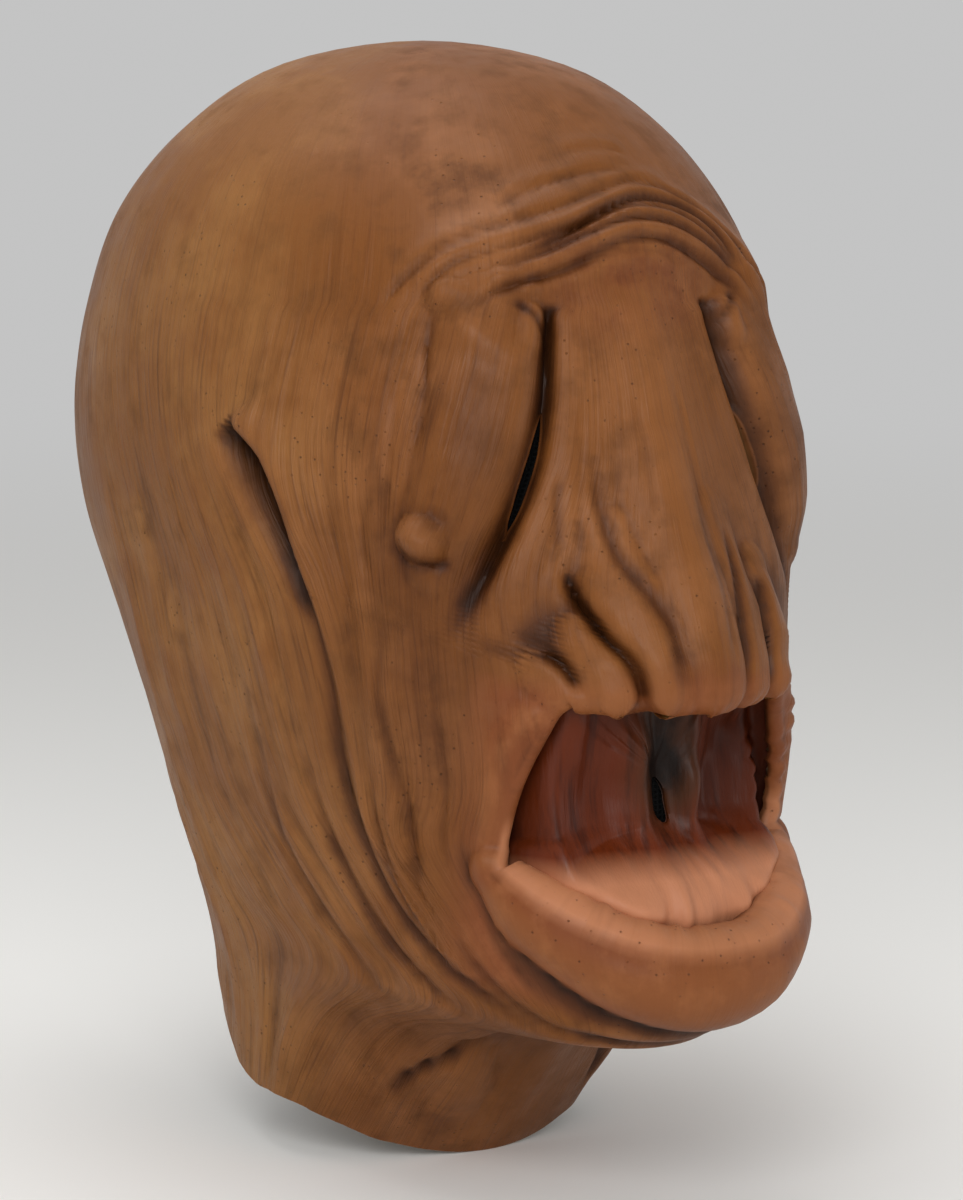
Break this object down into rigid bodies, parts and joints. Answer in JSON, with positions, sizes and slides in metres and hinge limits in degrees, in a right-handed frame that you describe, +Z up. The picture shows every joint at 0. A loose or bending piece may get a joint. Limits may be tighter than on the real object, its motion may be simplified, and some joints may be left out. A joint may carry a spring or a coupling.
{
  "type": "latex mask",
  "caption": "Overhead latex mask of an old, long-faced creature with drooping eye slits and a gaping mouth; it is pulled over the head and closed at the nape by a snap tab.",
  "frame": {"origin": "where the crown of the wearer's head touches the underside of the crown pad", "axes": "+Z up along the wearer's head, -Y out of the mask's face, +X towards the mask's left side"},
  "size_m": [0.2058, 0.2995, 0.35],
  "materials": {
    "latex_skin": "tan latex with painted washes, satin",
    "latex_lips": "tan and pink latex with painted washes, satin",
    "latex_mouth": "dark red-brown painted latex, satin",
    "scrim": "black open mesh",
    "foam": "charcoal open-cell foam",
    "gauze": "cotton gauze soaked in latex",
    "nickel": "nickel plate, worn satin"
  },
  "bodies": {
    "head": {"head_skin": "latex_skin", "mouth_pouch": "latex_mouth", "left_eye_scrim": "scrim", "right_eye_scrim": "scrim", "mouth_scrim": "scrim", "crown_pad": "foam", "brow_pad": "foam", "left_temple_pad": "foam", "right_temple_pad": "foam", "back_pad": "foam", "slit_patch": "gauze", "neck_band": "gauze"},
    "jaw": {"jaw_skin": "latex_lips", "chin_pad": "foam"},
    "right_flap": {"right_flap": "latex_skin", "snap_stud": "nickel", "snap_post": "nickel"},
    "left_flap": {"left_flap": "latex_skin", "tab_root": "latex_skin", "tab_rivets": "nickel"},
    "tab": {"tab": "latex_skin", "snap_cap": "nickel", "snap_socket": "nickel"}
  },
  "joints": [
    {"name": "jaw_flex", "type": "hinge", "parent": "head", "child": "jaw", "pos_m": [0, -0.08, -0.2858], "axis": [1, 0, 0], "range_deg": [0, 8], "stiffness_Nm_per_rad": 2},
    {"name": "left_flap_flex", "type": "hinge", "parent": "head", "child": "left_flap", "pos_m": [0.02042, 0.09852, -0.19552], "axis": [0.2534, -0.4469, -0.858], "range_deg": [0, 18], "stiffness_Nm_per_rad": 0.06},
    {"name": "right_flap_flex", "type": "hinge", "parent": "head", "child": "right_flap", "pos_m": [-0.02042, 0.09852, -0.19552], "axis": [0.2534, 0.4469, 0.858], "range_deg": [0, 18], "stiffness_Nm_per_rad": 0.06},
    {"name": "tab_flex", "type": "hinge", "parent": "left_flap", "child": "tab", "pos_m": [0.0094, 0.09729, -0.20123], "axis": [-0.0439, -0.4852, -0.8733], "range_deg": [0, 100], "stiffness_Nm_per_rad": 0.02}
  ],
  "couplings": [
    {"joint": "left_flap_flex", "follows": "tab_flex", "ratio": 0.18},
    {"joint": "right_flap_flex", "follows": "tab_flex", "ratio": 0.18}
  ]
}
